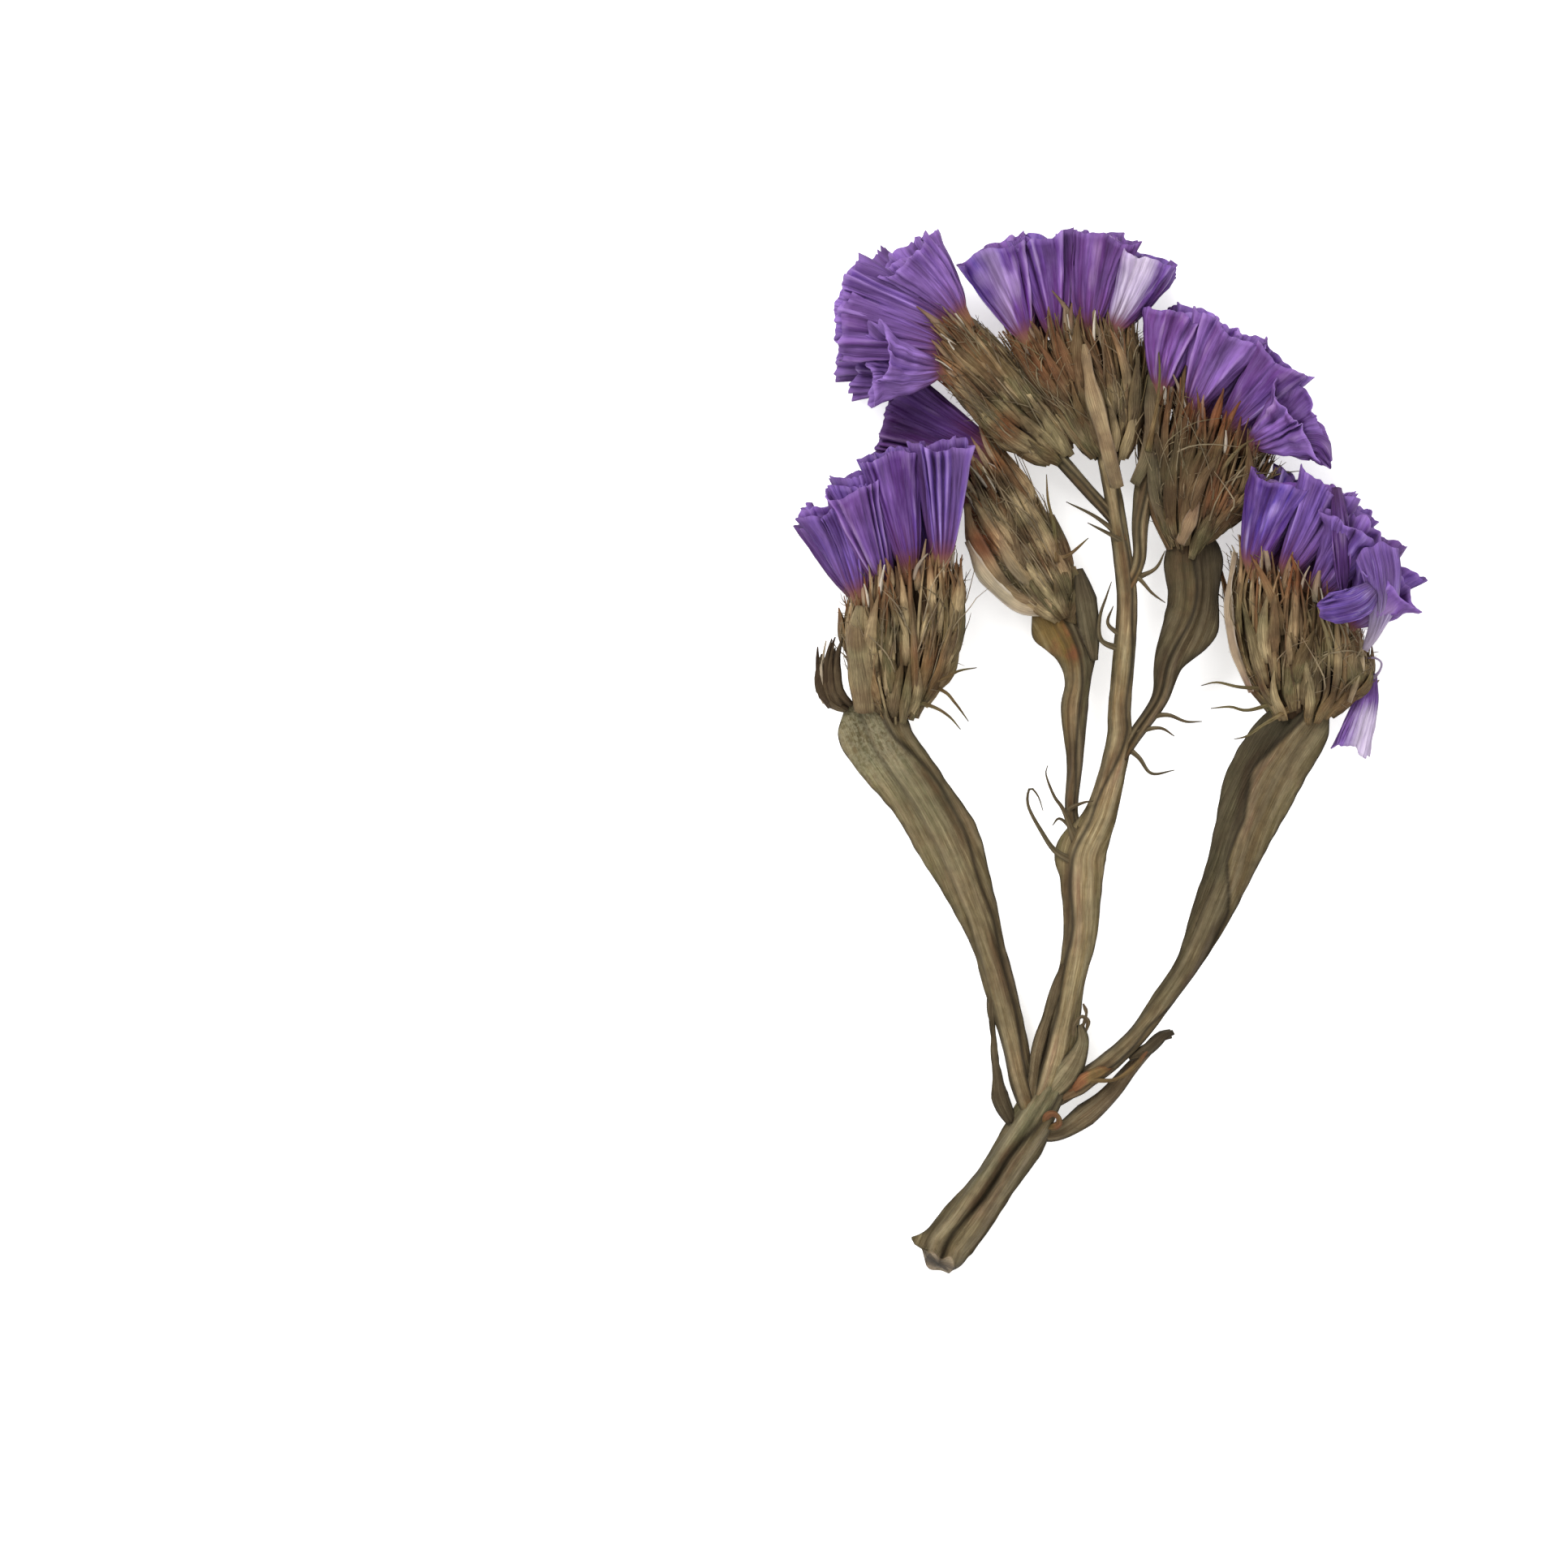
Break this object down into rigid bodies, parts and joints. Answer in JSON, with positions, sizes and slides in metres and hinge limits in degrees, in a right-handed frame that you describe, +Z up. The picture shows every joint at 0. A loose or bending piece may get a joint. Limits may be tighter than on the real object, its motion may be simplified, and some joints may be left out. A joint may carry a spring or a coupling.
{
  "type": "dried statice flower sprig",
  "caption": "Dried statice sprig, sold as dried myosotis: papery violet calyx heads in brown bracts on a winged, forked stem, lying on a surface.",
  "frame": {"origin": "under the middle of the sprig's box, on the surface that it lies on", "axes": "+Y along the sprig, from the cut end of the stem towards the top heads; +X to the right seen from above; +Z up, away from the surface"},
  "size_m": [0.0394, 0.065, 0.0096],
  "materials": {
    "calyx_paper": "satin",
    "bracts": "matte",
    "stem": "matte"
  },
  "bodies": {
    "root": {"lower_left_calyces": "calyx_paper", "middle_left_calyces": "calyx_paper", "upper_left_calyces": "calyx_paper", "top_calyces": "calyx_paper", "upper_right_calyces": "calyx_paper", "lower_right_calyces": "calyx_paper", "loose_calyx": "calyx_paper", "lower_left_bracts": "bracts", "middle_left_bracts": "bracts", "upper_left_bracts": "bracts", "top_bracts": "bracts", "upper_right_bracts": "bracts", "lower_right_bracts": "bracts", "stem": "stem"}
  },
  "joints": []
}
